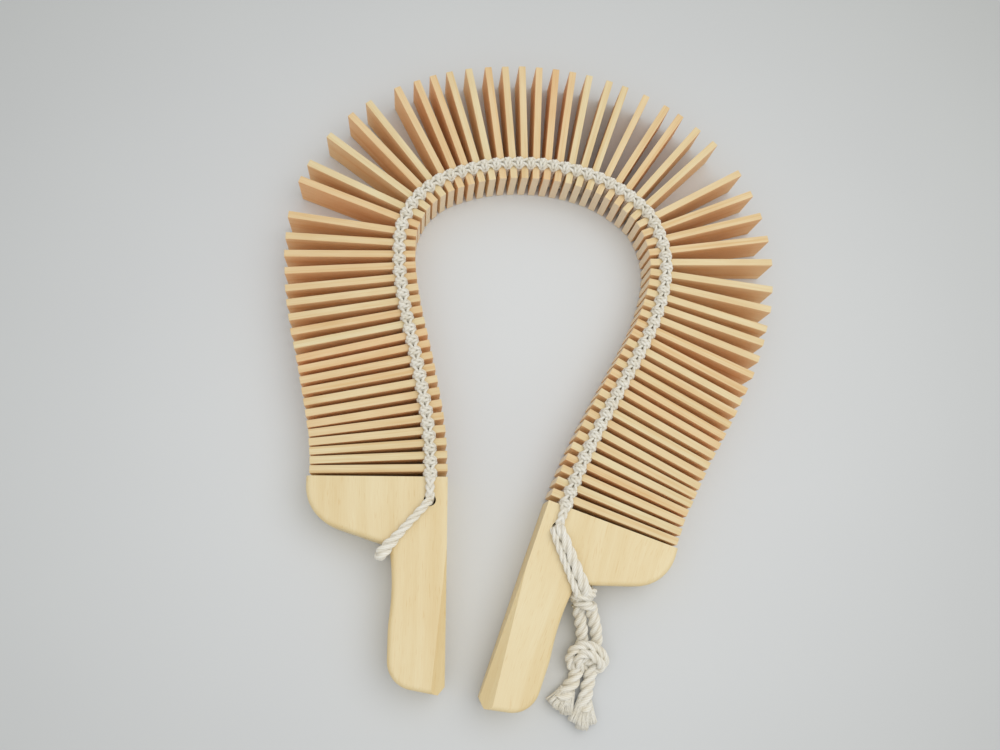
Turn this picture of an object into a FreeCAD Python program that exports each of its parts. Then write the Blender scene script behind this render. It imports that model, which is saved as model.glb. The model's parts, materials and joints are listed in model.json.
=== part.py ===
import FreeCAD, Part
import math
import os

# A laced wooden slat clapper: 72 upright slats strung side by side on a cotton lacing, with a
# wooden handle at each end of the string. It lies on its side in a horseshoe, +Z up, with the
# crown towards +Y and both grips towards -Y. Millimetres and degrees.

Vector = FreeCAD.Vector
UP = Vector(0, 0, 1)

# ---- slats ----
SLAT_LENGTH = 90.0
SLAT_THICKNESS = 5.0
SLAT_DEPTH = 29.0
SLAT_COUNT = 72
EDGE_BREAK = 0.4            # small flat on every long edge
# Slats next to a handle hang in pairs on one hinge; those of the fan hang singly.
FIRST_SINGLE = 21
LAST_SINGLE = 50

# ---- lacing ----
LACING_INSET = 11.5         # from a slat's inner end to the middle of the lacing
LACING_GAP = 3.3            # gap between two parallel slats, at the lacing
GAP_PER_DEGREE = 0.07       # the lacing opens by this much more per degree of fan
LACING_WIDTH = 7.0
STRAND_THICKNESS = 2.6      # how far the lacing stands on a slat's edge
LOWER_NOTCH_DEPTH = 3.0     # notch in a slat's lower edge that takes the lower lacing
LOWER_NOTCH_WIDTH = 8.0
POST_THICKNESS = 2.2        # strands that cross over in a gap, along the string
POST_WIDTH = 5.0
CLEAR = 0.15                # lacing to wood

# ---- fan: how far each member is turned from the one before it, left handle to right handle.
# Positive closes the outer ends, negative opens them. Each entry is (number of gaps, degrees).
FAN = [
    (1, 1.3), (5, 1.8), (6, 0.6), (2, -0.9), (3, -1.5), (2, -3.0), (1, -3.3), (1, -5.3),
    (1, -13.5), (1, -4.0), (1, -12.2), (1, -9.9), (1, -5.6), (1, -11.0), (1, -4.9),
    (2, -3.0), (2, -4.4), (6, -3.1), (1, -5.1), (1, -2.9), (2, -6.2), (1, -2.8),
    (2, -5.7), (1, -14.5), (4, -6.9), (1, -8.8), (2, -4.8), (1, -1.7), (3, -3.1),
    (4, -0.6), (5, 0.3), (6, 1.2), (1, 1.3),
]
LEFT_HANDLE_HEADING = 181.0  # of its slat-side face, inner edge to outer edge

# ---- handles ----
HANDLE_WIDTH = 92.0
HANDLE_THICKNESS = SLAT_DEPTH
SHOULDER_SIDE = 5.5         # straight side before the shoulder's curve
SHOULDER_RADIUS = 29.0
SHOULDER_TURN = 71.4
# Straight underside of the shoulder, down to the notch: left handle, right handle.
SHOULDER_RUN = {1: 35.0, -1: 37.5}
ROPE_DIAMETER = 5.5
NOTCH_RADIUS = ROPE_DIAMETER / 2 + 0.4
NOTCH_TURN = 62.0
WAIST_RADIUS = 150.0
WAIST_TURN = 16.4
SWELL_RADIUS = 84.0
SWELL_RUN = 16.0
BUTT_RADIUS = 18.0
BUTT_TURN = 78.5
BUTT_CORNER = 4.5           # the inner corner of the butt is cut off by this much
EDGE_ROUND = 3.5
CORD_HOLE_RADIUS = 4.0
CORD_HOLE_FROM_SLATS = 15.2
BEVEL_START = 45.0          # thumb bevel along the inner edge, widening down the grip
BEVEL_WIDTH = 9.0
BEVEL_DEPTH = 9.5
GRIP_END = 136.0
GROOVE_WIDTH = 6.2          # groove in the underside that takes the tie's lower run
GROOVE_DEPTH = 6.0

# ---- tail: two ropes with an upper and a lower knot, in the right handle's own directions:
# out from its inner edge, down its grip, and up ----
TAIL_DIAMETER = 8.0
UPPER_KNOT_AT = (44.0, 52.2, 17.5)
UPPER_KNOT_SIZE = (8.6, 7.2, 7.2)
LOWER_KNOT_AT = (59.2, 85.0, 8.4)
LOWER_KNOT_SIZE = (13.0, 8.2, 8.0)
TAIL_LEFT_ROUTE = [
    (42.0, 56.5, 14.6), (47.2, 64.5, 11.2), (52.4, 73.5, 8.0), (55.6, 85.0, 6.2),
    (57.2, 96.5, 5.2), (55.8, 107.5, 4.4), (52.6, 117.0, 4.2),
]
TAIL_RIGHT_ROUTE = [
    (50.0, 54.0, 14.6), (56.0, 61.5, 11.2), (61.8, 71.0, 8.2), (64.6, 83.0, 6.2),
    (66.2, 95.5, 5.2), (66.6, 107.5, 4.4), (69.4, 118.5, 4.2),
]


def heading_vector(degrees):
    return Vector(math.cos(math.radians(degrees)), math.sin(math.radians(degrees)), 0)


class Member:
    """Where one slat or handle stands: out runs along it from its inner end to its outer end,
    along runs down the string towards the right handle, and lace is its middle at the lacing."""

    def __init__(self, lace, heading):
        self.lace = lace
        self.heading = heading
        self.out = heading_vector(heading)
        self.along = heading_vector(heading - 90)
        self.inner = lace - self.out * LACING_INSET


def lay_out():
    """The slats, both handles' slat-side faces, and the middle of every gap at the lacing."""
    fans = [turn for count, turn in FAN for _ in range(count)]
    gaps = [LACING_GAP + GAP_PER_DEGREE * abs(turn) for turn in fans]
    left = Member(Vector(0, 0, 0), LEFT_HANDLE_HEADING)
    heading = LEFT_HANDLE_HEADING
    place = left.lace + left.along * (gaps[0] / 2)
    middles = [place]
    slats = []
    for number in range(SLAT_COUNT):
        heading += fans[number]
        along = heading_vector(heading - 90)
        lace = place + along * ((gaps[number] + SLAT_THICKNESS) / 2)
        slats.append(Member(lace, heading))
        place = lace + along * ((gaps[number + 1] + SLAT_THICKNESS) / 2)
        middles.append(place)
    heading += fans[SLAT_COUNT]
    right = Member(place + heading_vector(heading - 90) * (gaps[SLAT_COUNT] / 2), heading)
    return left, slats, right, middles, gaps


def slat(member):
    """An upright board with broken edges, and a notch across its lower edge at the lacing."""
    board = Part.makeBox(SLAT_LENGTH, SLAT_THICKNESS, SLAT_DEPTH, Vector(0, -SLAT_THICKNESS / 2, 0))
    board = board.makeChamfer(EDGE_BREAK, board.Edges)
    notch = Part.makeBox(
        LOWER_NOTCH_WIDTH, 2 * SLAT_THICKNESS, LOWER_NOTCH_DEPTH,
        Vector(LACING_INSET - LOWER_NOTCH_WIDTH / 2, -SLAT_THICKNESS, 0),
    )
    board = board.cut(notch)
    board.rotate(Vector(), UP, member.heading)
    board.translate(member.inner)
    return board


class Outline:
    """A flat outline drawn move by move, from a point and a heading. A positive turn bends it
    towards the inside of a handle, and side -1 draws the mirror image."""

    def __init__(self, x, y, heading, side):
        self.at = (x, y)
        self.heading = heading
        self.side = side
        self.edges = []
        self.centre = None

    def point(self, at):
        return Vector(at[0], self.side * at[1], 0)

    def line_to(self, x, y):
        self.edges.append(Part.LineSegment(self.point(self.at), self.point((x, y))).toShape())
        self.at = (x, y)

    def forward(self, run):
        angle = math.radians(self.heading)
        self.line_to(self.at[0] + run * math.cos(angle), self.at[1] + run * math.sin(angle))

    def arc(self, radius, turn):
        bend = math.copysign(1, turn)
        start = math.radians(self.heading - 90 * bend)
        self.centre = (self.at[0] - radius * math.cos(start), self.at[1] - radius * math.sin(start))
        ends = []
        for part in (0.5, 1.0):
            angle = start + math.radians(turn * part)
            ends.append((
                self.centre[0] + radius * math.cos(angle),
                self.centre[1] + radius * math.sin(angle),
            ))
        arc = Part.Arc(self.point(self.at), self.point(ends[0]), self.point(ends[1]))
        self.edges.append(arc.toShape())
        self.at = ends[1]
        self.heading += turn


def handle_outline(side):
    """A handle's outline and the middle of its rope notch. x runs out from the inner edge and y
    runs from the slats down the grip."""
    line = Outline(0, 0, 0, side)
    line.forward(HANDLE_WIDTH)
    line.heading = 90
    line.forward(SHOULDER_SIDE)
    line.arc(SHOULDER_RADIUS, SHOULDER_TURN)
    line.forward(SHOULDER_RUN[side])
    line.arc(NOTCH_RADIUS, -NOTCH_TURN)
    notch = line.centre
    line.arc(WAIST_RADIUS, -WAIST_TURN)
    line.arc(SWELL_RADIUS, 90 - line.heading)
    line.forward(SWELL_RUN)
    line.arc(BUTT_RADIUS, BUTT_TURN)
    line.forward((line.at[0] - BUTT_CORNER) / -math.cos(math.radians(line.heading)))
    line.line_to(0, line.at[1] - BUTT_CORNER)
    line.line_to(0, 0)
    return Part.Wire(line.edges), notch


def handle_blank(side):
    """The handle in its own directions, before it is moved to the end of the string."""
    wire, notch = handle_outline(side)
    body = Part.Face(wire).extrude(UP * HANDLE_THICKNESS)
    rounded = []
    for edge in body.Edges:
        box = edge.BoundBox
        flat = box.ZLength < 1e-6
        shaped = box.XMax > 0.1 and abs(box.YMin) + abs(box.YMax) > 0.1
        if flat and shaped:
            rounded.append(edge)
    body = body.makeFillet(EDGE_ROUND, rounded)
    body = body.cut(thumb_bevel(side, HANDLE_THICKNESS, 1))
    body = body.cut(thumb_bevel(side, 0, -1))
    hole_y = side * CORD_HOLE_FROM_SLATS
    hole = Part.makeCylinder(CORD_HOLE_RADIUS, HANDLE_THICKNESS, Vector(LACING_INSET, hole_y, 0))
    body = body.cut(hole)
    hole_at = (LACING_INSET, CORD_HOLE_FROM_SLATS)
    body = body.cut(groove((LACING_INSET, 0), hole_at, side, LOWER_NOTCH_WIDTH, LOWER_NOTCH_DEPTH))
    body = body.cut(groove(hole_at, notch, side, GROOVE_WIDTH, GROOVE_DEPTH))
    return body


def thumb_bevel(side, level, facing):
    """What is planed off the inner edge of the face at this level, facing up (1) or down (-1)."""
    start = Vector(0, side * BEVEL_START, level)
    wide = Vector(BEVEL_WIDTH, side * GRIP_END, level)
    deep = Vector(0, side * GRIP_END, level - facing * BEVEL_DEPTH)
    normal = (wide - start).cross(deep - start).normalize()
    if normal.z * facing < 0:
        normal = -normal
    block = Part.makeBox(400, 400, 40, Vector(-200, -200, 0))
    block.Placement = FreeCAD.Placement(start, FreeCAD.Rotation(UP, normal))
    return block


def groove(start, end, side, width, depth):
    """A straight groove in a handle's underside between two points of its outline plane."""
    a = Vector(start[0], side * start[1], 0)
    b = Vector(end[0], side * end[1], 0)
    run = b - a
    slot = Part.makeBox(run.Length, width, depth, Vector(0, -width / 2, 0))
    slot.rotate(Vector(), UP, math.degrees(math.atan2(run.y, run.x)))
    slot.translate(a)
    return slot


def place_on_handle(shape, member):
    """Move a shape from a handle's own directions to the end of the string."""
    shape.rotate(Vector(), UP, member.heading)
    shape.translate(member.inner)
    return shape


def on_handle(member, side, point):
    """A point given out, down and up on a handle, in the part's frame."""
    down = member.along * -side
    return member.inner + member.out * point[0] + down * point[1] + UP * point[2]


def tube(points, radius, round_ends=True):
    """Straight round bars through the points, with a ball at each corner."""
    bars = []
    for a, b in zip(points, points[1:]):
        bars.append(Part.makeCylinder(radius, (b - a).Length, a, b - a))
    balls = points if round_ends else points[1:-1]
    for point in balls:
        bars.append(Part.makeSphere(radius, point))
    solid = bars[0].multiFuse(bars[1:]) if len(bars) > 1 else bars[0]
    return solid.removeSplitter()


def tie(member, side, notch):
    """The rope that ends the lacing on a handle: out of the cord hole, across the upper face to
    the notch, round the edge, and back to the hole in the groove underneath."""
    radius = ROPE_DIAMETER / 2
    upper = HANDLE_THICKNESS + radius + CLEAR
    lower = radius + CLEAR
    hole_top = on_handle(member, side, (LACING_INSET, CORD_HOLE_FROM_SLATS, upper))
    hole_foot = on_handle(member, side, (LACING_INSET, CORD_HOLE_FROM_SLATS, lower))
    notch_top = on_handle(member, side, (notch[0], notch[1], upper))
    notch_foot = on_handle(member, side, (notch[0], notch[1], lower))
    return tube([hole_foot, hole_top, notch_top, notch_foot, hole_foot], radius)


def lacing_band(stations, low):
    """A flat band that follows the string, between two heights."""
    half = LACING_WIDTH / 2
    outer = [at + out * half for at, out in stations]
    inner = [at - out * half for at, out in reversed(stations)]
    rim = [point + UP * low for point in outer + inner]
    face = Part.Face(Part.makePolygon(rim + rim[:1]))
    return face.extrude(UP * STRAND_THICKNESS)


def lacing(left, slats, right, middles):
    """Upper and lower bands along the whole string, joined by the strands in every gap."""
    reach = CORD_HOLE_FROM_SLATS - CORD_HOLE_RADIUS - CLEAR
    stations = [(left.lace - left.along * reach, left.out), (left.lace, left.out)]
    stations += [(member.lace, member.out) for member in slats]
    stations += [(right.lace, right.out), (right.lace + right.along * reach, right.out)]
    low = CLEAR
    high = SLAT_DEPTH + CLEAR
    pieces = [lacing_band(stations, low), lacing_band(stations, high)]
    members = [left] + slats + [right]
    for gap, middle in enumerate(middles):
        across = (members[gap].heading + members[gap + 1].heading) / 2
        post = Part.makeBox(
            POST_WIDTH, POST_THICKNESS, high - low, Vector(-POST_WIDTH / 2, -POST_THICKNESS / 2, low)
        )
        post.rotate(Vector(), UP, across)
        post.translate(middle)
        pieces.append(post)
    return pieces[0].multiFuse(pieces[1:])


def knot(member, side, at, size):
    """An egg-shaped knot, given by its middle and half sizes in the handle's directions."""
    ball = Part.makeSphere(1.0)
    matrix = FreeCAD.Matrix()
    matrix.scale(size[0], size[1], size[2])
    egg = ball.transformGeometry(matrix)
    egg.rotate(Vector(), UP, member.heading)
    egg.translate(on_handle(member, side, at))
    return egg


def soft_route(points):
    """Straight runs joined by tangent arcs, each as large as its two runs allow."""
    edges = []
    radii = []
    start = points[0]
    for before, corner, after in zip(points, points[1:], points[2:]):
        back = before - corner
        ahead = after - corner
        half_turn = (math.pi - back.getAngle(ahead)) / 2
        trim = 0.45 * min(back.Length, ahead.Length)
        radius = trim / math.tan(half_turn)
        back.normalize()
        ahead.normalize()
        inward = (back + ahead).normalize()
        arc_middle = corner + inward * (radius / math.cos(half_turn) - radius)
        arc = Part.Arc(corner + back * trim, arc_middle, corner + ahead * trim)
        edges.append(Part.LineSegment(start, corner + back * trim).toShape())
        edges.append(arc.toShape())
        start = corner + ahead * trim
        radii.append(radius)
    edges.append(Part.LineSegment(start, points[-1]).toShape())
    return Part.Wire(edges), radii


def soft_tube(name, points, diameter):
    """A plain tube along a soft cord's route."""
    route, radii = soft_route(points)
    section = Part.Wire(Part.makeCircle(diameter / 2, points[0], points[1] - points[0]))
    solid = route.makePipeShell([section], True, False)
    ideal = math.pi * diameter**2 / 4 * route.Length
    print(name, "bend radii", [round(r, 1) for r in radii], "length", round(route.Length, 1),
          "volume over section times length", round(solid.Volume / ideal, 4))
    return solid


def slat_nodes(slats):
    """Node names and the slats in each: pairs beside the handles, single slats in the fan."""
    nodes = []
    number = 1
    while number <= SLAT_COUNT:
        if FIRST_SINGLE <= number <= LAST_SINGLE:
            nodes.append((f"slat_{number:02d}", [number]))
            number += 1
        else:
            nodes.append((f"slats_{number:02d}_{number + 1:02d}", [number, number + 1]))
            number += 2
    return nodes


def build():
    """Every node's shape by name, and the chain that the hinges follow."""
    left, slats, right, middles, gaps = lay_out()
    parts = {}
    for side, name, member in ((1, "handle_left", left), (-1, "handle_right", right)):
        parts[name] = place_on_handle(handle_blank(side), member)
    for name, numbers in slat_nodes(slats):
        boards = [slat(slats[number - 1]) for number in numbers]
        parts[name] = boards[0] if len(boards) == 1 else Part.makeCompound(boards)
    box = Part.makeCompound(list(parts.values())).BoundBox
    offset = Vector(-box.Center.x, -box.Center.y, 0)

    parts["lacing"] = lacing(left, slats, right, middles)
    parts["tie_left"] = tie(left, 1, handle_outline(1)[1])
    parts["tie_right"] = tie(right, -1, handle_outline(-1)[1])
    parts["tail_knot_upper"] = knot(right, -1, UPPER_KNOT_AT, UPPER_KNOT_SIZE)
    parts["tail_knot_lower"] = knot(right, -1, LOWER_KNOT_AT, LOWER_KNOT_SIZE)
    for name, route in (("tail_left", TAIL_LEFT_ROUTE), ("tail_right", TAIL_RIGHT_ROUTE)):
        points = [on_handle(right, -1, point) for point in route]
        parts[name] = soft_tube(name, points, TAIL_DIAMETER)

    for shape in parts.values():
        shape.translate(offset)
    for member in [left, right] + slats:
        member.lace = member.lace + offset
        member.inner = member.inner + offset
    middles = [middle + offset for middle in middles]
    return parts, left, slats, right, middles, gaps


def main():
    parts = build()[0]
    os.makedirs("parts", exist_ok=True)
    for name, shape in parts.items():
        shape.exportStep(f"parts/{name}.step")
    print(len(parts), "nodes")


main()
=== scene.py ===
import json
import math
import random

import bmesh
import bpy
from mathutils import Matrix, Vector

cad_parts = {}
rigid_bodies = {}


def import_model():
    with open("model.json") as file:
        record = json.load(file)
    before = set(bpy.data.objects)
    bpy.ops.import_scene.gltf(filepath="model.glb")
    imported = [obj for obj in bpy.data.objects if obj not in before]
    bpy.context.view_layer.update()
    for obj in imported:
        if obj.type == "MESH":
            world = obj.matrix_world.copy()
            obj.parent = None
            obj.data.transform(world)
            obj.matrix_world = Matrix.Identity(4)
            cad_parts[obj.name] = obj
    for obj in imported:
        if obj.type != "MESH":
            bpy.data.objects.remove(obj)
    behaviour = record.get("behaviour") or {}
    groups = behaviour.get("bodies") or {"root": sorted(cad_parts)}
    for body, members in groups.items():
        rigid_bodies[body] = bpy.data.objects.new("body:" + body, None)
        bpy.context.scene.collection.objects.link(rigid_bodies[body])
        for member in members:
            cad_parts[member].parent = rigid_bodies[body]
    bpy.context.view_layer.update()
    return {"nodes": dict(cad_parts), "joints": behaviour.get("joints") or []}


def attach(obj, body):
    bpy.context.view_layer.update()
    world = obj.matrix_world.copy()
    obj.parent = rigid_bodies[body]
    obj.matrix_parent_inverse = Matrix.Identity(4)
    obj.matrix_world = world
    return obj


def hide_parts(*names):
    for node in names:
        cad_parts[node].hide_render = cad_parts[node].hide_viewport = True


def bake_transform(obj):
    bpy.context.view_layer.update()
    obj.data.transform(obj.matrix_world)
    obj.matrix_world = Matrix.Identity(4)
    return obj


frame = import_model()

# A laced wooden slat clapper lying on its side in a horseshoe. The CAD frame gives every slat's
# and handle's place; the slats, the lacing, the ties, the knots and the tail are detailed here.

MM = 0.001                     # the unit is the metre
UP = Vector((0, 0, 1))

# ---- sizes repeated from the part ----
SLAT_DEPTH = 29.0 * MM
SLAT_THICKNESS = 5.0 * MM
LACING_INSET = 11.5 * MM
NOTCH_WIDTH = 8.0 * MM
NOTCH_DEPTH = 3.0 * MM
HOLE_DOWN = 15.2               # in millimetres, as every point on a handle is
SLAT_COUNT = 72

# ---- camera: its place in metres, its lens and sensor in millimetres ----
CAMERA_AT = (-0.0770, -0.1528, 0.6215)
CAMERA_RIGHT = (0.9954, 0.0158, 0.0947)
CAMERA_UP = (-0.0375, 0.9719, 0.2323)
LENS = 32.4
SENSOR = 36.0


# ------------------------------------------------------------------ places, from the frame
class Member:
    """A slat's or handle's place: inner end, the way out along it, the way on along the string."""

    def __init__(self, inner, out, body):
        self.inner = inner
        self.out = out
        self.along = Vector((out.y, -out.x, 0))
        self.body = body
        self.lace = inner + out * LACING_INSET

    def at(self, out=0.0, along=0.0, up=0.0):
        """A point beside the lacing's middle on this member, in millimetres."""
        return self.lace + (self.out * out + self.along * along + UP * up) * MM


def hinges(body):
    """Where the hinges of one body are."""
    return [Vector(j["pos_m"]) for j in frame["joints"] if body in (j["parent"], j["child"])]


def flat_points(node):
    """The points of a CAD node, seen from above."""
    return [Vector((v.co.x, v.co.y, 0)) for v in frame["nodes"][node].data.vertices]


def long_axis(points):
    """The middle of some points and the direction in which they spread the most."""
    middle = sum(points, Vector()) / len(points)
    xx = sum((p.x - middle.x) ** 2 for p in points)
    yy = sum((p.y - middle.y) ** 2 for p in points)
    xy = sum((p.x - middle.x) * (p.y - middle.y) for p in points)
    angle = 0.5 * math.atan2(2 * xy, xx - yy)
    return middle, Vector((math.cos(angle), math.sin(angle), 0))


def board(points, body):
    """The place of one slat, from its CAD solid's points."""
    middle, axis = long_axis(points)
    side = Vector((axis.y, -axis.x, 0))
    along = [(p - middle).dot(axis) for p in points]
    across = [(p - middle).dot(side) for p in points]
    line = middle + side * (max(across) + min(across)) / 2
    ends = [line + axis * min(along), line + axis * max(along)]
    near = [min((end - hinge).length for hinge in hinges(body)) for end in ends]
    if near[1] < near[0]:
        ends.reverse()
    member = Member(ends[0], (ends[1] - ends[0]).normalized(), body)
    member.length = (ends[1] - ends[0]).length
    return member


def find_slats(last):
    """Every slat in order along the string, starting next to the point last."""
    nodes = sorted(n for n in frame["nodes"] if n.startswith("slat"))
    nodes.sort(key=lambda n: int(n.split("_")[1]))
    slats = []
    for node in nodes:
        points = flat_points(node)
        if node.startswith("slats_"):
            middle, axis = long_axis(points)
            side = Vector((axis.y, -axis.x, 0))
            sets = [
                [p for p in points if (p - middle).dot(side) < 0],
                [p for p in points if (p - middle).dot(side) >= 0],
            ]
        else:
            sets = [points]
        boards = [board(some, node) for some in sets]
        boards.sort(key=lambda m: (m.lace - last).length)
        for member in boards:
            member.node = node
        slats += boards
        last = slats[-1].lace
    return slats


LEAST_FACE = 100 * MM * MM     # smaller ones belong to rounded edges


def find_handle(node, side):
    """A handle's place, from its flat face beside the slats: side 1 left, -1 right."""
    hinge = hinges(node)[0]
    best = None
    for face in frame["nodes"][node].data.polygons:
        if abs(face.normal.z) > 0.01 or face.area < LEAST_FACE:
            continue
        reach = abs((hinge - face.center).dot(face.normal))
        if best is None or reach < best[0]:
            best = (reach, face.normal.copy(), face.center.copy())
    normal = Vector((best[1].x, best[1].y, 0)).normalized()
    along = normal * side
    out = Vector((-along.y, along.x, 0))
    points = flat_points(node)
    start = min((p - hinge).dot(out) for p in points)
    inner = Vector((hinge.x, hinge.y, 0)) + out * start
    inner += along * (Vector((best[2].x, best[2].y, 0)) - inner).dot(along)
    return Member(inner, out, node)


def on_handle(member, side, point):
    """A point given out, down and up on a handle, in millimetres."""
    out, down, up = point
    return member.inner + (member.out * out - member.along * side * down + UP * up) * MM


LEFT = find_handle("handle_left", 1)
RIGHT = find_handle("handle_right", -1)
SLATS = find_slats(LEFT.lace)
assert len(SLATS) == SLAT_COUNT


# ------------------------------------------------------------------ shaders
class Shader:
    """A node material under construction."""

    def __init__(self, name, roughness, sheen=0.0):
        self.material = bpy.data.materials.new(name)
        self.material.use_nodes = True
        self.tree = self.material.node_tree
        self.bsdf = self.tree.nodes["Principled BSDF"]
        self.bsdf.inputs["Roughness"].default_value = roughness
        self.bsdf.inputs["Specular IOR Level"].default_value = 0.35
        if sheen:
            self.bsdf.inputs["Sheen Weight"].default_value = sheen
            self.bsdf.inputs["Sheen Roughness"].default_value = 0.6

    def node(self, kind, inputs=None, **settings):
        made = self.tree.nodes.new(kind)
        for key, value in settings.items():
            setattr(made, key, value)
        for key, value in (inputs or {}).items():
            if isinstance(value, bpy.types.NodeSocket):
                self.tree.links.new(value, made.inputs[key])
            else:
                made.inputs[key].default_value = value
        return made

    def math(self, operation, a, b=0.0):
        return self.node("ShaderNodeMath", {0: a, 1: b}, operation=operation).outputs[0]

    def mix(self, factor, a, b, blend="MIX"):
        made = self.node("ShaderNodeMix", data_type="RGBA", blend_type=blend)
        for socket, value in ((made.inputs[0], factor), (made.inputs[6], a), (made.inputs[7], b)):
            if isinstance(value, bpy.types.NodeSocket):
                self.tree.links.new(value, socket)
            else:
                socket.default_value = value
        return made.outputs[2]

    def ramp(self, value, low, high):
        """0 below low, 1 above high, and a straight line between."""
        made = self.node("ShaderNodeMapRange", {0: value, 1: low, 2: high, 3: 0.0, 4: 1.0})
        return made.outputs[0]

    def streaks(self, vector, scale, detail=2.0):
        """Noise with its own scale along each axis, so a small scale makes long streaks."""
        moved = self.node("ShaderNodeMapping", {"Vector": vector, "Scale": scale})
        return self.node(
            "ShaderNodeTexNoise",
            {"Vector": moved.outputs[0], "Scale": 1.0, "Detail": detail, "Roughness": 0.55},
        ).outputs["Fac"]

    def bump(self, height, strength, distance):
        made = self.node(
            "ShaderNodeBump", {"Height": height, "Strength": strength, "Distance": distance}
        )
        self.tree.links.new(made.outputs[0], self.bsdf.inputs["Normal"])

    def colour(self, socket):
        self.tree.links.new(socket, self.bsdf.inputs["Base Color"])

    def own(self, name):
        """A number kept on each object."""
        made = self.node("ShaderNodeAttribute", attribute_type="OBJECT", attribute_name=name)
        return made.outputs["Fac"]


def rgb(red, green, blue):
    return (red, green, blue, 1.0)


def slat_wood():
    """Planed softwood, grain along the slat. Each slat has its own tone and its own cut. Its broad
    faces are painted lighter and warmer as painted light.
    """
    s = Shader("slat_wood", 0.62)
    coord = s.node("ShaderNodeTexCoord")
    seed = s.own("seed")
    tone = s.own("tone")
    shift = s.node("ShaderNodeCombineXYZ", {0: seed, 1: s.math("MULTIPLY", seed, 0.37), 2: seed})
    place = s.node("ShaderNodeVectorMath", {0: coord.outputs["Object"], 1: shift.outputs[0]})
    rings = s.streaks(place.outputs[0], (5.0, 330.0, 210.0))
    fibre = s.streaks(place.outputs[0], (45.0, 2300.0, 2300.0))
    cloud = s.streaks(place.outputs[0], (26.0, 60.0, 60.0))
    base = s.mix(tone, rgb(0.765, 0.655, 0.405), rgb(0.775, 0.555, 0.305))
    late = s.mix(s.ramp(rings, 0.50, 0.72), rgb(1, 1, 1), rgb(0.93, 0.84, 0.72))
    base = s.mix(1.0, base, late, "MULTIPLY")
    fine = s.mix(s.ramp(fibre, 0.35, 0.75), rgb(1, 1, 1), rgb(0.93, 0.86, 0.76))
    base = s.mix(1.0, base, fine, "MULTIPLY")
    patch = s.mix(s.ramp(cloud, 0.40, 0.70), rgb(1, 1, 1), rgb(0.95, 0.90, 0.84))
    base = s.mix(1.0, base, patch, "MULTIPLY")
    normal = s.node("ShaderNodeSeparateXYZ", {0: coord.outputs["Normal"]})
    end = s.ramp(s.math("ABSOLUTE", normal.outputs[0]), 0.6, 0.95)
    face = s.ramp(s.math("ABSOLUTE", normal.outputs[1]), 0.6, 0.95)
    # Slat ends are mixed toward a paler, greyer tan. The broad faces are made lighter and warmer:
    # painted light that lifts the shade falling between the close slats.
    base = s.mix(end, base, s.mix(0.6, base, rgb(0.88, 0.73, 0.55)))
    base = s.mix(face, base, s.mix(1.0, base, rgb(1.17, 1.0, 0.93), "MULTIPLY"))
    s.colour(base)
    s.bump(fibre, 0.35, 0.0002)
    return s.material


def handle_wood(name, angle):
    """Sanded pale hardwood with faint long grain at this angle from the X axis, and painted shade on
    its tilted faces.
    """
    s = Shader(name, 0.5)
    coord = s.node("ShaderNodeTexCoord").outputs
    turned = s.node(
        "ShaderNodeVectorRotate", {"Vector": coord["Object"], "Angle": -angle}, rotation_type="Z_AXIS"
    )
    place = turned.outputs[0]
    warp = s.streaks(place, (6.0, 14.0, 14.0), 1.0)
    bent = s.node("ShaderNodeCombineXYZ", {0: 0.0, 1: s.math("MULTIPLY", warp, 0.02), 2: 0.0})
    place = s.node("ShaderNodeVectorMath", {0: place, 1: bent.outputs[0]}).outputs[0]
    rings = s.streaks(place, (2.2, 115.0, 60.0), 3.0)
    fibre = s.streaks(place, (60.0, 1900.0, 1900.0))
    flecks = s.streaks(place, (130.0, 1300.0, 1300.0), 0.0)
    cloud = s.streaks(place, (9.0, 16.0, 16.0))
    base = s.mix(s.ramp(rings, 0.42, 0.66), rgb(0.80, 0.69, 0.44), rgb(0.765, 0.635, 0.375))
    fine = s.mix(s.ramp(fibre, 0.35, 0.75), rgb(1, 1, 1), rgb(0.965, 0.93, 0.87))
    base = s.mix(1.0, base, fine, "MULTIPLY")
    fleck = s.mix(s.ramp(flecks, 0.68, 0.78), rgb(1, 1, 1), rgb(0.955, 0.91, 0.84))
    base = s.mix(1.0, base, fleck, "MULTIPLY")
    patch = s.mix(s.ramp(cloud, 0.35, 0.7), rgb(1, 1, 1), rgb(0.975, 0.935, 0.88))
    base = s.mix(1.0, base, patch, "MULTIPLY")
    # Faces that tilt away from straight up, such as the bevels, the rounded edges and the sides, are
    # painted a little darker and warmer: painted shade.
    facing = s.node("ShaderNodeSeparateXYZ", {0: coord["Normal"]})
    tilt = s.math("ABSOLUTE", facing.outputs[2])
    tilted_shade = s.ramp(tilt, 0.97, 0.80)
    base = s.mix(tilted_shade, base, s.mix(1.0, base, rgb(1.0, 0.97, 0.90), "MULTIPLY"))
    s.colour(base)
    s.bump(fibre, 0.2, 0.00012)
    return s.material


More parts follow.
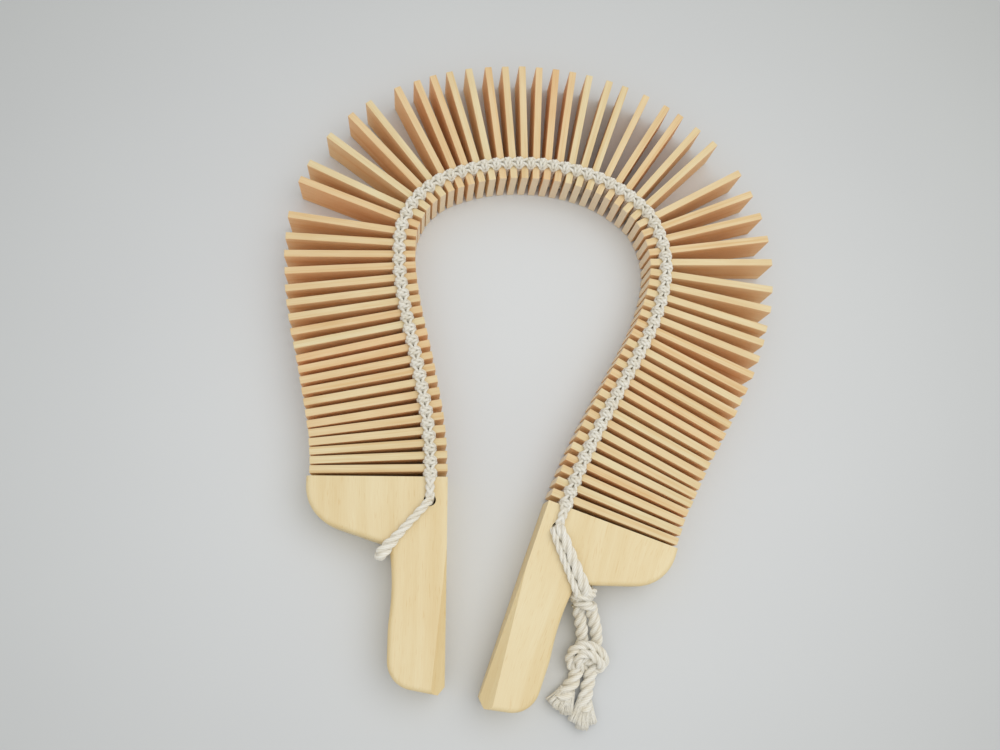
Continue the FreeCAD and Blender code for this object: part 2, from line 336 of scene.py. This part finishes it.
def cotton(name, yarns):
    """Off-white twisted cotton: painted shade darker in the grooves between plies, fine yarns wound
    round each ply.
    """
    s = Shader(name, 0.9, 0.35)
    crown = s.node("ShaderNodeAttribute", attribute_type="GEOMETRY", attribute_name="crown")
    uv = s.node("ShaderNodeUVMap", uv_map="lay")
    coord = s.node("ShaderNodeTexCoord").outputs["Object"]
    parts = s.node("ShaderNodeSeparateXYZ", {0: uv.outputs[0]})
    wound = s.math("ADD", s.math("MULTIPLY", parts.outputs[0], yarns), parts.outputs[1])
    wave = s.math("SINE", s.math("MULTIPLY", wound, 2 * math.pi))
    fuzz = s.streaks(coord, (2600.0, 2600.0, 2600.0))
    soil = s.streaks(coord, (120.0, 120.0, 120.0))
    # Darker towards the grooves between the plies, paler on their crowns: painted shade in the
    # grooves.
    raised = s.ramp(crown.outputs["Fac"], 0.0, 0.75)
    base = s.mix(raised, rgb(0.75, 0.70, 0.59), rgb(0.86, 0.835, 0.75))
    yarn = s.mix(s.ramp(wave, -0.9, 0.4), rgb(0.89, 0.87, 0.82), rgb(1, 1, 1))
    base = s.mix(1.0, base, yarn, "MULTIPLY")
    dust = s.mix(s.ramp(soil, 0.4, 0.75), rgb(1, 1, 1), rgb(0.93, 0.90, 0.83))
    base = s.mix(1.0, base, dust, "MULTIPLY")
    s.colour(base)
    height = s.math("ADD", s.math("MULTIPLY", wave, 0.5), fuzz)
    s.bump(height, 0.5, 0.00018)
    return s.material


SLAT_WOOD = slat_wood()
CORD = cotton("cotton_cord", 3.0)


# ------------------------------------------------------------------ cords
def smooth_line(points, closed=False, steps=10, order=3):
    """The points of the smooth NURBS line that these control points steer."""
    curve = bpy.data.curves.new("route", "CURVE")
    curve.dimensions = "3D"
    curve.resolution_u = steps
    spline = curve.splines.new("NURBS")
    spline.points.add(len(points) - 1)
    for knob, point in zip(spline.points, points):
        knob.co = (point[0], point[1], point[2], 1.0)
    spline.order_u = order
    spline.use_endpoint_u = not closed
    spline.use_cyclic_u = closed
    holder = bpy.data.objects.new("route", curve)
    mesh = bpy.data.meshes.new_from_object(holder)
    line = [v.co.copy() for v in mesh.vertices]
    bpy.data.objects.remove(holder)
    bpy.data.curves.remove(curve)
    bpy.data.meshes.remove(mesh)
    return line


def ply_radius(angle, plies):
    """The outline of plies laid together, 1 at the crown of each, from the middle of the cord."""
    if plies < 2:
        return 1.0
    half = math.pi / plies
    off = (angle + half) % (2 * half) - half
    offset = 0.5 if plies > 2 else 0.42
    return offset * math.cos(off) + math.sqrt((1 - offset) ** 2 - (offset * math.sin(off)) ** 2)


ABOVE_TABLE = 0.1 * MM
YARN_CROWN = 0.8               # a loose yarn has no grooves, and is nearly as pale as a crown
WINDINGS = 6                   # of the fine yarns in one pitch of the plies


class Cords:
    """Twisted cords gathered into one mesh."""

    def __init__(self):
        self.verts = []
        self.faces = []
        self.crown = []
        self.lay = []

    def tube(self, line, radius, plies=3, pitch=18.0, hand=1, sides=18, up=None, closed=False,
             turns=None):
        """A twisted cord along a line. radius is in metres, or a function of the share run.

        The plies take the given number of turns, or one in every pitch.
        """
        count = len(line)
        runs = [0.0]
        for a, b in zip(line, line[1:]):
            runs.append(runs[-1] + (b - a).length)
        total = runs[-1] + ((line[0] - line[-1]).length if closed else 0.0)
        if turns is None:
            turns = total / (pitch * MM)
            if closed:
                turns = max(1, round(turns * plies)) / plies
        low = ply_radius(math.pi / max(plies, 1), plies)
        first = len(self.verts)
        normal = up
        for i in range(count):
            before = line[i - 1] if (i or closed) else line[0]
            after = line[(i + 1) % count] if (i < count - 1 or closed) else line[-1]
            tangent = (after - before).normalized()
            reference = up if up is not None else (normal or Vector((0.3, 0.2, 1.0)))
            normal = (reference - tangent * reference.dot(tangent)).normalized()
            side = tangent.cross(normal)
            share = runs[i] / total
            size = radius(share) if callable(radius) else radius
            phase = hand * 2 * math.pi * turns * share
            for k in range(sides):
                angle = 2 * math.pi * k / sides
                out = ply_radius(angle - phase, plies)
                at = line[i] + (normal * math.cos(angle) + side * math.sin(angle)) * size * out
                at.z = max(at.z, ABOVE_TABLE)
                self.verts.append(at)
                self.crown.append((out - low) / (1 - low) if plies > 1 else YARN_CROWN)
        rings = count if closed else count - 1
        for i in range(rings):
            a = first + i * sides
            b = first + ((i + 1) % count) * sides
            shares = (runs[i], runs[i + 1] if i + 1 < count else total)
            for k in range(sides):
                n = (k + 1) % sides
                self.faces.append((a + k, a + n, b + n, b + k))
                for share, angle in ((0, k), (0, k + 1), (1, k + 1), (1, k)):
                    phase = hand * turns * shares[share] / total
                    self.lay.append((
                        (angle / sides - phase) * max(plies, 1),
                        shares[share] / (pitch * MM) * WINDINGS * -hand,
                    ))
        if not closed:
            for ring, flip in ((first, True), (first + (count - 1) * sides, False)):
                cap = [ring + k for k in range(sides)]
                self.faces.append(tuple(reversed(cap)) if flip else tuple(cap))
                self.lay += [(0.5, 0.5)] * sides

    def fray(self, line, count, yarn, start, end, rng):
        """Loose yarns that spread from a round bundle to a wider one, along three points."""
        axis = (line[-1] - line[0]).normalized()
        side = axis.cross(UP).normalized()
        rise = side.cross(axis)
        for _ in range(count):
            turn = rng.uniform(0, 2 * math.pi)
            share = math.sqrt(rng.random())
            radial = side * math.cos(turn) + rise * math.sin(turn) * 0.8
            length = rng.uniform(0.86, 1.0)
            swirl = rng.uniform(-0.5, 0.5)
            path = []
            for step in range(7):
                t = step / 6 * length
                at = line[0] * (1 - t) ** 2 + line[1] * 2 * t * (1 - t) + line[2] * t * t
                wide = (start + (end - start) * t ** 2) * share
                twist = radial * math.cos(swirl * t) + axis.cross(radial) * math.sin(swirl * t)
                at = at + twist * wide
                at.z = max(at.z, yarn + ABOVE_TABLE)
                path.append(at)
            self.tube(path, yarn, plies=1, sides=5)

    def piece(self, name):
        """The cords gathered so far, as one object."""
        mesh = bpy.data.meshes.new(name)
        mesh.from_pydata([tuple(v) for v in self.verts], [], self.faces)
        layer = mesh.uv_layers.new(name="lay")
        layer.data.foreach_set("uv", [c for pair in self.lay for c in pair])
        crown = mesh.attributes.new("crown", "FLOAT", "POINT")
        crown.data.foreach_set("value", self.crown)
        mesh.polygons.foreach_set("use_smooth", [True] * len(mesh.polygons))
        mesh.materials.append(CORD)
        mesh.update()
        made = bpy.data.objects.new(name, mesh)
        bpy.context.scene.collection.objects.link(made)
        return made


# ------------------------------------------------------------------ tails and knots
# The routes are the part's own: out, down and up on the right handle, in millimetres.
TAIL_DIAMETER = 8.0 * MM
FULLNESS = 1.1                 # soft cotton stands a little proud of the cord's own radius
FLARE_FROM = 0.62              # the share of its length after which a rope loosens
TAIL_LEFT_ROUTE = [
    (42.0, 56.5, 14.6), (47.2, 64.5, 11.2), (52.4, 73.5, 8.0), (55.6, 85.0, 6.2),
    (57.2, 96.5, 5.2), (55.8, 107.5, 4.4), (52.6, 117.0, 4.2),
]
TAIL_RIGHT_ROUTE = [
    (50.0, 54.0, 14.6), (56.0, 61.5, 11.2), (61.8, 71.0, 8.2), (64.6, 83.0, 6.2),
    (66.2, 95.5, 5.2), (66.6, 107.5, 4.4), (69.4, 118.5, 4.2),
]
UPPER_KNOT_AT = (44.0, 52.2, 17.5)
LOWER_KNOT_AT = (59.2, 85.0, 8.4)
KNOT_LAY = 6.4                 # one turn of the plies in a knot, in radii of its cord
YARN = 0.34 * MM               # radius of a loose yarn in the frayed ends


def right_points(route):
    return [on_handle(RIGHT, -1, point) for point in route]


def tail(name, route, cad_node, flare):
    """A rope from the upper knot to its fray, and its line. It loosens by flare at its end."""
    line = smooth_line(right_points(route), steps=26)
    cords = Cords()
    radius = TAIL_DIAMETER / 2

    def size(share):
        beyond = max(0.0, (share - FLARE_FROM) / (1 - FLARE_FROM))
        return radius * (FULLNESS + flare * beyond ** 1.5)

    cords.tube(line, size, plies=3, pitch=21.0, sides=30, up=UP)
    made = cords.piece(name)
    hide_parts(cad_node)
    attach(made, "handle_right")
    return made, line


def tuft(name, bundles, seed):
    """Frayed rope ends: each bundle is a short line of route points and its two radii."""
    rng = random.Random(seed)
    cords = Cords()
    for points, start, end, count in bundles:
        cords.fray(right_points(points), count, YARN, start * MM, end * MM, rng)
    made = cords.piece(name)
    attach(made, "handle_right")
    return made


def knot(name, at, strands, cad_node):
    """Turns of cord about a middle: offsets in millimetres to the right, away and up."""
    centre = on_handle(RIGHT, -1, at)
    cords = Cords()
    for points, radius, closed, hand in strands:
        line = smooth_line([centre + Vector(p) * MM for p in points], closed, steps=10)
        cords.tube(
            line, radius * MM, plies=3, pitch=radius * KNOT_LAY, hand=hand, sides=18, closed=closed,
        )
    made = cords.piece(name)
    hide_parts(cad_node)
    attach(made, "handle_right")
    return made


def ring(centre, wide, high, lean, tilt, count=12):
    """A turn of cord about the tail's direction, as closed control points."""
    points = []
    for k in range(count):
        angle = 2 * math.pi * k / count
        x = wide * math.cos(angle)
        z = high * math.sin(angle)
        points.append((centre[0] + x, centre[1] + lean * x + tilt * z, centre[2] + z))
    return points


knot("upper_knot", UPPER_KNOT_AT, [
    (ring((-0.8, 4.4, 3.6), 6.6, 7.4, 0.12, -0.25), 3.2, True, 1),
    (ring((0.4, -2.4, 0.0), 6.0, 4.6, -0.30, -0.20), 3.2, True, -1),
    (ring((-0.2, 0.4, 0.0), 4.4, 3.2, 0.05, -0.20), 3.0, True, 1),
], "tail_knot_upper")

lower_knot = knot("lower_knot", LOWER_KNOT_AT, [
    ([(-3.5, -9.5, -4.0), (-9.6, -8.0, -2.8), (-12.0, -1.8, 0.4), (-9.4, 4.6, 4.4),
      (-2.4, 7.6, 6.0), (4.8, 5.6, 6.2), (10.4, 1.0, 3.8), (12.6, -3.6, -0.4), (9.6, -7.2, -4.2),
      (3.0, -6.4, -4.6)],
     3.3, False, 1),
    ([(-1.0, -8.5, -3.8), (-5.4, -6.6, 1.0), (-6.8, -1.4, 4.6), (-3.6, 2.0, 6.8), (1.6, 1.4, 7.6),
      (6.6, -2.2, 6.0), (9.8, -6.4, 2.2), (8.8, -9.0, -2.2), (3.8, -9.0, -4.4)],
     3.2, False, 1),
    ([(-9.6, 2.5, -4.0), (-4.0, 6.4, -3.4), (3.4, 6.6, -3.6), (9.8, 3.0, -3.8)], 3.0, False, 1),
    ([(-8.0, -4.0, -1.6), (-3.0, -2.6, 1.6), (2.6, -2.4, 2.6), (8.2, -0.6, 0.8)], 3.4, False, -1),
], "tail_knot_lower")

left_tuft = tuft("tail_fray_left", [
    ([(53.6, 110.0, 4.6), (50.8, 116.5, 4.6), (47.2, 122.0, 4.4)], 4.0, 5.0, 190),
    ([(54.8, 110.0, 4.6), (54.4, 117.0, 4.6), (53.2, 123.8, 4.4)], 4.0, 5.0, 190),
    ([(56.0, 109.5, 4.4), (57.6, 117.5, 4.4), (58.8, 125.0, 4.2)], 3.8, 4.6, 170),
], 5)
right_tuft = tuft("tail_fray_right", [
    ([(67.0, 111.0, 4.6), (66.2, 120.0, 4.6), (65.2, 127.8, 4.4)], 3.8, 4.6, 180),
    ([(68.4, 111.5, 4.8), (70.6, 121.5, 4.6), (71.8, 130.0, 4.4)], 3.9, 4.8, 190),
    ([(69.6, 111.0, 4.2), (74.0, 118.4, 4.0), (77.6, 124.6, 3.6)], 2.6, 3.6, 100),
], 6)

tail_left, line_left = tail("tail_rope_left", TAIL_LEFT_ROUTE, "tail_left", 0.42)
tail_right, line_right = tail("tail_rope_right", TAIL_RIGHT_ROUTE, "tail_right", 0.28)


# ------------------------------------------------------------------ ties on the handles
TIE_ACROSS = (0.778, 0.628)    # square to a tie's run over the handle: out and up the handle


def tie(name, member, side, strands, cad_node):
    """Ropes that end the lacing on a handle, as routes given out, down and up on it."""
    cords = Cords()
    across = (member.out * TIE_ACROSS[0] + member.along * side * TIE_ACROSS[1]).normalized()
    for points, radius, pitch, hand in strands:
        line = smooth_line([on_handle(member, side, p) for p in points], steps=16)
        cords.tube(line, radius, plies=3, pitch=pitch, hand=hand, sides=24, up=across)
    made = cords.piece(name)
    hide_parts(cad_node)
    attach(made, member.body)
    return made


def swell(base, extra, middle, width):
    """A radius that swells by extra about one place along a cord."""
    def size(share):
        return (base + extra * math.exp(-((share - middle) / width) ** 2)) * MM
    return size


TOP = 31.7
LEFT_TIE = [
    (12.0, 16.4, 13.0), (11.6, 15.6, 27.0), (12.4, 16.6, 32.6), (17.4, 22.0, TOP),
    (25.6, 31.2, TOP), (33.8, 40.4, TOP), (38.6, 45.8, TOP), (42.4, 50.4, 31.4),
    (43.0, 51.0, 26.0), (41.6, 49.2, 14.0), (41.6, 49.2, 4.4), (39.6, 46.8, 2.8),
    (31.6, 37.8, 2.9), (20.0, 24.6, 2.9), (12.4, 16.2, 3.2), (11.6, 15.4, 9.0),
]
tie("tie_rope_left", LEFT, 1, [(LEFT_TIE, swell(2.85, 1.5, 0.435, 0.07), 21.0, 1)], "tie_left")

RIGHT_FRONT_INNER = [
    (10.0, 16.8, 14.0), (9.2, 16.6, 27.0), (9.0, 18.4, 32.4), (13.0, 23.6, 31.4),
    (21.5, 33.4, 31.3), (30.2, 43.4, 31.3), (35.8, 49.6, 31.0), (38.4, 52.4, 26.0),
    (41.0, 53.6, 20.0),
]
RIGHT_FRONT_OUTER = [
    (12.4, 15.0, 13.0), (12.2, 14.6, 27.0), (12.6, 15.6, 33.6), (17.4, 20.6, 32.8),
    (25.2, 29.4, 32.6), (33.2, 38.4, 32.4), (39.8, 45.0, 31.4), (43.8, 48.8, 27.0),
    (45.6, 51.2, 20.0),
]
RIGHT_BACK = [
    (11.6, 15.4, 9.0), (12.4, 16.4, 3.2), (19.0, 24.6, 2.9), (30.0, 38.4, 2.9), (37.4, 47.6, 2.9),
    (41.0, 51.6, 6.0), (43.5, 52.6, 13.0),
]
tie("tie_rope_right", RIGHT, -1, [
    (RIGHT_FRONT_INNER, 2.5 * MM, 20.0, 1),
    (RIGHT_FRONT_OUTER, swell(3.5, 0.5, 0.75, 0.3), 27.0, 1),
    (RIGHT_BACK, 2.6 * MM, 20.0, 1),
], "tie_right")


# ------------------------------------------------------------------ lacing
STRAND = 1.85 * MM             # radius of a strand along the string
AT_HANDLE = 1.2                # how much fuller the strands are beside a handle
CROSSING = 1.72 * MM           # radius of a turn of cord round the strands in a gap
# The next sizes are in millimetres, as Member.at takes them.
CROSSING_REACH = 3.1           # half the width of such a turn, and its height
CROSSING_TOP = 31.9
UPPER = 30.6                   # heights of the strands' middles on a slat's two edges
LOWER = 1.5
STRING_PITCH = 8.3             # from one slat to the next
CHEVRON = ((-1, 1), (1, -1))   # side of the lacing and twist of each pair of strands


def half_strand(member, way, side, level, sign, at_hole):
    """Control points from the middle of a slat's edge, or a handle's hole, towards the gap."""
    if not at_hole:
        return [
            member.at(side * 1.5, 0.0, level),
            member.at(side * 1.5, way * 1.3, level + sign * 0.1),
            member.at(side * 2.1, way * 2.7, level - sign * 0.2),
        ]
    deep = level - sign * 12
    return [
        member.at(side * 0.9, -way * (HOLE_DOWN - 0.2), deep),
        member.at(side * 1.0, -way * (HOLE_DOWN - 0.4), level - sign * 3),
        member.at(side * 1.0, -way * (HOLE_DOWN - 2.6), level + sign * 0.6),
        member.at(side * 1.0, -way * 7.0, level + sign * 0.4),
        member.at(side * 1.1, -way * 2.5, level + sign * 0.3),
        member.at(side * 1.6, -way * 0.2, level),
    ]


def lacing_gap(number, before, after, rng):
    """The lacing from the middle of one member to the middle of the next."""
    face_before = before.lace
    face_after = after.lace
    if before is not LEFT:
        face_before = before.lace + before.along * SLAT_THICKNESS / 2
    if after is not RIGHT:
        face_after = after.lace - after.along * SLAT_THICKNESS / 2
    middle = (face_before + face_after) / 2
    out = (before.out + after.out).normalized()
    along = Vector((out.y, -out.x, 0))
    cords = Cords()
    for level, sign in ((UPPER, 1), (LOWER, -1)):
        for side, hand in CHEVRON:
            first = half_strand(before, 1, side, level, sign, before is LEFT)
            last = half_strand(after, -1, side, level, sign, after is RIGHT)
            dip = middle + (out * side * 2.2 + UP * (level - sign * 0.6)) * MM
            line = smooth_line(first + [dip] + last[::-1], steps=5)
            turns = 1.0
            thick = STRAND
            if len(first) != len(last):
                turns = 3.0
                thick = STRAND * AT_HANDLE
            cords.tube(
                line, thick, plies=2, pitch=STRING_PITCH, hand=hand * sign, sides=12, up=UP,
                turns=turns,
            )
    for lean, rise, shift, hand in ((1, 0.0, 1.0, 1), (-1, -0.5, -1.0, -1)):
        points = []
        wide = CROSSING_REACH + rng.uniform(-0.15, 0.15)
        jitter = rng.uniform(-0.15, 0.15)
        high = CROSSING_TOP + rise + rng.uniform(-0.12, 0.12)
        for x, y, z in (
            (wide, 0.1, 15.0), (wide, 0.1, 25.0), (wide + 0.1, shift * 0.9 - lean * 0.3, 30.0),
            (2.2, shift - lean * 0.5, high), (0.0, shift * 0.9 + jitter, high + 0.5),
            (-2.2, shift + lean * 0.5, high), (-wide - 0.1, shift * 0.9 + lean * 0.3, 30.0),
            (-wide, -0.1, 25.0), (-wide, -0.1, 15.0), (-wide, -0.1, 5.0),
            (-2.8, shift * 0.7, 1.9), (0.0, shift * 0.8, 1.7), (2.8, shift * 0.7, 1.9),
            (wide, 0.1, 5.0),
        ):
            points.append(middle + (out * x + along * y + UP * z) * MM)
        line = smooth_line(points, closed=True, steps=4)
        cords.tube(line, CROSSING, plies=2, pitch=7.0, hand=hand, sides=10, up=along, closed=True)
    made = cords.piece(f"lacing_{number:02d}")
    if before.body == after.body:
        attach(made, before.body)
    else:
        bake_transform(made)
    return made


members = [LEFT] + SLATS + [RIGHT]
lacing_rng = random.Random(11)
for gap in range(SLAT_COUNT + 1):
    made = lacing_gap(gap, members[gap], members[gap + 1], lacing_rng)
    if gap == 0:
        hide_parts("lacing")


# ------------------------------------------------------------------ slats
UNEVEN = 0.25                  # how far a slat's outer end may be out of square, in millimetres
EASED = 0.4 * MM               # how far its edges are rounded off


def slat_mesh(name, length, rng):
    """A board with eased edges, a notch for the lower lacing and slightly uneven ends."""
    half = SLAT_THICKNESS / 2
    left = LACING_INSET - NOTCH_WIDTH / 2
    right = LACING_INSET + NOTCH_WIDTH / 2
    skew = rng.uniform(-UNEVEN, UNEVEN) * MM
    outline = [
        (0, 0), (left, 0), (left, NOTCH_DEPTH), (right, NOTCH_DEPTH), (right, 0),
        (length - abs(skew) + skew, 0), (length - abs(skew) - skew, SLAT_DEPTH), (0, SLAT_DEPTH),
    ]
    work = bmesh.new()
    corners = [work.verts.new((x, -half, z)) for x, z in outline]
    face = work.faces.new(corners)
    moved = bmesh.ops.extrude_face_region(work, geom=[face])
    for item in moved["geom"]:
        if isinstance(item, bmesh.types.BMVert):
            item.co.y = half
    bmesh.ops.recalc_face_normals(work, faces=work.faces)
    bmesh.ops.bevel(
        work, geom=list(work.edges), offset=EASED, segments=2, profile=0.6,
        affect="EDGES", clamp_overlap=True,
    )
    mesh = bpy.data.meshes.new(name)
    work.to_mesh(mesh)
    work.free()
    mesh.materials.append(SLAT_WOOD)
    return mesh


# Tones from pale (0) to orange (1): slats that stand out, and the range of all the others.
WARM = {11: 0.75, 12: 0.9, 22: 0.7, 36: 0.85, 43: 0.6, 14: 0.6, 29: 0.65, 57: 0.6}
TONES = (-0.15, 0.62)
slat_rng = random.Random(3)
for number, member in enumerate(SLATS, 1):
    name = f"slat_board_{number:02d}"
    made = bpy.data.objects.new(name, slat_mesh(name, member.length, slat_rng))
    bpy.context.scene.collection.objects.link(made)
    made["seed"] = slat_rng.uniform(0, 40)
    made["tone"] = WARM.get(number, slat_rng.uniform(*TONES))
    made.matrix_world = Matrix((
        (member.out.x, -member.along.x, 0, member.inner.x),
        (member.out.y, -member.along.y, 0, member.inner.y),
        (0, 0, 1, 0),
        (0, 0, 0, 1),
    ))
    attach(made, member.body)
    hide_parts(member.node)


# ------------------------------------------------------------------ handles
for node, member, side in (("handle_left", LEFT, 1), ("handle_right", RIGHT, -1)):
    grip = member.along * -side
    material = handle_wood(f"{node}_wood", math.atan2(grip.y, grip.x))
    handle = frame["nodes"][node]
    handle.data.materials.clear()
    handle.data.materials.append(material)
    for face in handle.data.polygons:
        face.material_index = 0


# ------------------------------------------------------------------ floor, light and camera
def floor_material():
    """Pale paper with painted falloff of the light: a little greyer away from the middle."""
    s = Shader("floor", 0.85)
    coord = s.node("ShaderNodeTexCoord").outputs["Object"]
    cloud = s.streaks(coord, (4.0, 4.0, 4.0))
    base = s.mix(s.ramp(cloud, 0.3, 0.7), rgb(0.685, 0.697, 0.69), rgb(0.67, 0.68, 0.676))
    # Painted light falloff: the paper is painted greyer further from a point near the middle, as the
    # light falls off towards the edges.
    away = s.node("ShaderNodeVectorMath", {0: coord, 1: (0.03, 0.02, 0.0)})
    reach = s.node("ShaderNodeVectorMath", {0: away.outputs[0]}, operation="LENGTH")
    light_falloff = s.ramp(reach.outputs["Value"], 0.12, 0.55)
    base = s.mix(light_falloff, base, s.mix(1.0, base, rgb(0.70, 0.70, 0.68), "MULTIPLY"))
    s.colour(base)
    return s.material


FLOOR_REACH = 3.0              # metres to each side
FLOOR_Z = -0.2 * MM
corners = [
    (x * FLOOR_REACH, y * FLOOR_REACH, FLOOR_Z) for x, y in ((-1, -1), (1, -1), (1, 1), (-1, 1))
]
mesh = bpy.data.meshes.new("floor")
mesh.from_pydata(corners, [], [(0, 1, 2, 3)])
mesh.materials.append(floor_material())
floor = bpy.data.objects.new("floor", mesh)
bpy.context.scene.collection.objects.link(floor)


def area_light(name, at, target, size, power, tint=(1, 1, 1)):
    light = bpy.data.lights.new(name, "AREA")
    light.shape = "DISK"
    light.size = size
    light.energy = power
    light.color = tint
    made = bpy.data.objects.new(name, light)
    made.location = at
    made.rotation_euler = (Vector(target) - Vector(at)).to_track_quat("-Z", "Y").to_euler()
    bpy.context.scene.collection.objects.link(made)


area_light("key", (0.40, 0.10, 1.1), (0.0, -0.04, 0.0), 1.2, 4.9, (1.0, 0.995, 0.985))
area_light("fill", (-0.45, -0.45, 1.4), (0.0, 0.0, 0.0), 1.3, 1.5, (0.98, 0.99, 1.0))

AMBIENT = 0.72
world = bpy.data.worlds.new("studio")
world.use_nodes = True
world.node_tree.nodes["Background"].inputs[0].default_value = (0.97, 0.98, 1.0, 1.0)
world.node_tree.nodes["Background"].inputs[1].default_value = AMBIENT
bpy.context.scene.world = world

camera_data = bpy.data.cameras.new("camera")
camera_data.sensor_width = SENSOR
camera_data.lens = LENS
camera_data.clip_start = 0.01
camera = bpy.data.objects.new("camera", camera_data)
right = Vector(CAMERA_RIGHT).normalized()
back = right.cross(Vector(CAMERA_UP)).normalized()
up = back.cross(right)
camera.matrix_world = Matrix((
    (right.x, up.x, back.x, CAMERA_AT[0]),
    (right.y, up.y, back.y, CAMERA_AT[1]),
    (right.z, up.z, back.z, CAMERA_AT[2]),
    (0, 0, 0, 1),
))
bpy.context.scene.collection.objects.link(camera)
bpy.context.scene.camera = camera
bpy.context.scene.view_settings.view_transform = "Standard"
bpy.context.scene.view_settings.look = "None"
